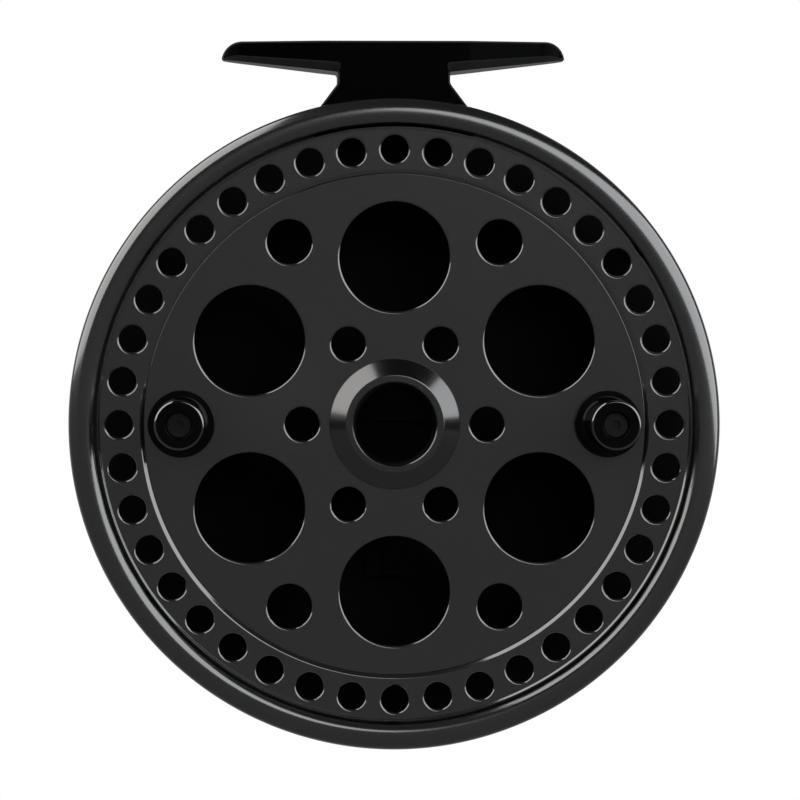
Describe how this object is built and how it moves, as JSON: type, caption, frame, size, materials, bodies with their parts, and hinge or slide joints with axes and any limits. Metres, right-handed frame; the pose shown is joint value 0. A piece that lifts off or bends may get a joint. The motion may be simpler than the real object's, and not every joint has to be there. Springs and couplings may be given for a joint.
{
  "type": "fishing reel",
  "caption": "Centrepin fishing reel: a perforated spool with winding handles turning in a full round frame under a rod foot, with a rear click check and drag.",
  "frame": {"origin": "centre of the foot's flat rod face", "axes": "+Z out of the foot towards the rod, +X to the right seen from the handles' side, -Y out of the face with the handles; the spool's axis is parallel to Y, 67.5 mm below the origin"},
  "size_m": [0.1142, 0.0521, 0.1246],
  "materials": {
    "anodised_frame": "satin black anodised",
    "black_foot": "satin black anodised",
    "anodised_spool": "satin black anodised",
    "black_bezel": "bright turned, black anodised",
    "black_screw": "black oxide",
    "gloss_knob": "gloss",
    "cap_black": "matt black",
    "control_black": "satin black anodised",
    "turned_steel": "turned",
    "plated_nut": "zinc plated",
    "hub_alloy": "black anodised",
    "bearing_steel": "ground",
    "brass": "milled",
    "spring_steel": "rolled",
    "black_steel": "black oxide",
    "washer_plastic": "matt",
    "brake_pad": "pressed fibre"
  },
  "bodies": {
    "frame": {"back_plate": "anodised_frame", "front_ring": "anodised_frame", "pillars": "anodised_frame", "frame_screws": "black_screw", "saddle": "anodised_frame", "reel_foot": "black_foot", "foot_screws": "black_screw", "spindle": "turned_steel", "spindle_washer": "plated_nut", "spindle_nut": "plated_nut", "front_inner_race": "bearing_steel", "rear_inner_race": "bearing_steel", "bearing_spacer": "turned_steel", "drag_bush": "plated_nut"},
    "spool": {"spool_drum": "anodised_spool", "spool_face": "anodised_spool", "face_screws": "black_screw", "spool_hub": "hub_alloy", "hub_screws": "black_screw", "hub_bezel": "black_bezel", "front_outer_race": "bearing_steel", "rear_outer_race": "bearing_steel", "bearing_clip": "spring_steel", "click_gear": "brass", "gear_screws": "black_screw", "handle_posts": "turned_steel", "handle_nuts": "plated_nut", "handle_washers": "washer_plastic", "handle_screws": "black_screw"},
    "left_handle": {"left_knob": "gloss_knob"},
    "right_handle": {"right_knob": "gloss_knob"},
    "cap": {"retaining_cap": "cap_black"},
    "front_bearing": {"front_cage": "brass", "front_balls": "bearing_steel"},
    "rear_bearing": {"rear_cage": "brass", "rear_balls": "bearing_steel"},
    "check": {"check_button": "control_black", "check_slide": "black_steel", "slide_screw": "black_screw", "pawl_post": "black_steel", "pawl_clip": "black_steel", "pawl_spring": "black_steel"},
    "pawl": {"check_pawl": "black_steel"},
    "shoe": {"drag_shoe": "brake_pad"},
    "drag": {"drag_knob": "control_black"}
  },
  "joints": [
    {"name": "spool_spin", "type": "hinge", "parent": "frame", "child": "spool", "pos_m": [0, 0, -0.0675], "axis": [0, -1, 0], "continuous": true},
    {"name": "front_cage_spin", "type": "hinge", "parent": "frame", "child": "front_bearing", "pos_m": [0, 0, -0.0675], "axis": [0, -1, 0], "continuous": true},
    {"name": "rear_cage_spin", "type": "hinge", "parent": "frame", "child": "rear_bearing", "pos_m": [0, 0, -0.0675], "axis": [0, -1, 0], "continuous": true},
    {"name": "left_knob_spin", "type": "hinge", "parent": "spool", "child": "left_handle", "pos_m": [-0.0374, -0.012, -0.0675], "axis": [0, -1, 0], "continuous": true},
    {"name": "right_knob_spin", "type": "hinge", "parent": "spool", "child": "right_handle", "pos_m": [0.0374, -0.012, -0.0675], "axis": [0, -1, 0], "continuous": true},
    {"name": "cap_turn", "type": "hinge", "parent": "frame", "child": "cap", "pos_m": [0, 0, -0.0675], "axis": [0, -1, 0], "continuous": true},
    {"name": "check_slide", "type": "slide", "parent": "frame", "child": "check", "axis": [0, 0, 1], "range_m": [0, 0.0016]},
    {"name": "pawl_tilt", "type": "hinge", "parent": "check", "child": "pawl", "pos_m": [0, 0.007, -0.0869], "axis": [0, -1, 0], "range_deg": [-26, 26], "stiffness_Nm_per_rad": 0.01, "deforming": ["pawl_spring"]},
    {"name": "drag_press", "type": "slide", "parent": "frame", "child": "shoe", "axis": [0, -1, 0], "range_m": [0, 0.00025]},
    {"name": "drag_turn", "type": "hinge", "parent": "shoe", "child": "drag", "pos_m": [0, 0.017, -0.0255], "axis": [0, -1, 0], "range_deg": [0, 270]}
  ],
  "couplings": [
    {"joint": "front_cage_spin", "follows": "spool_spin", "ratio": 0.6033},
    {"joint": "rear_cage_spin", "follows": "spool_spin", "ratio": 0.6033},
    {"joint": "drag_turn", "follows": "drag_press", "rad_per_m": 18850}
  ]
}
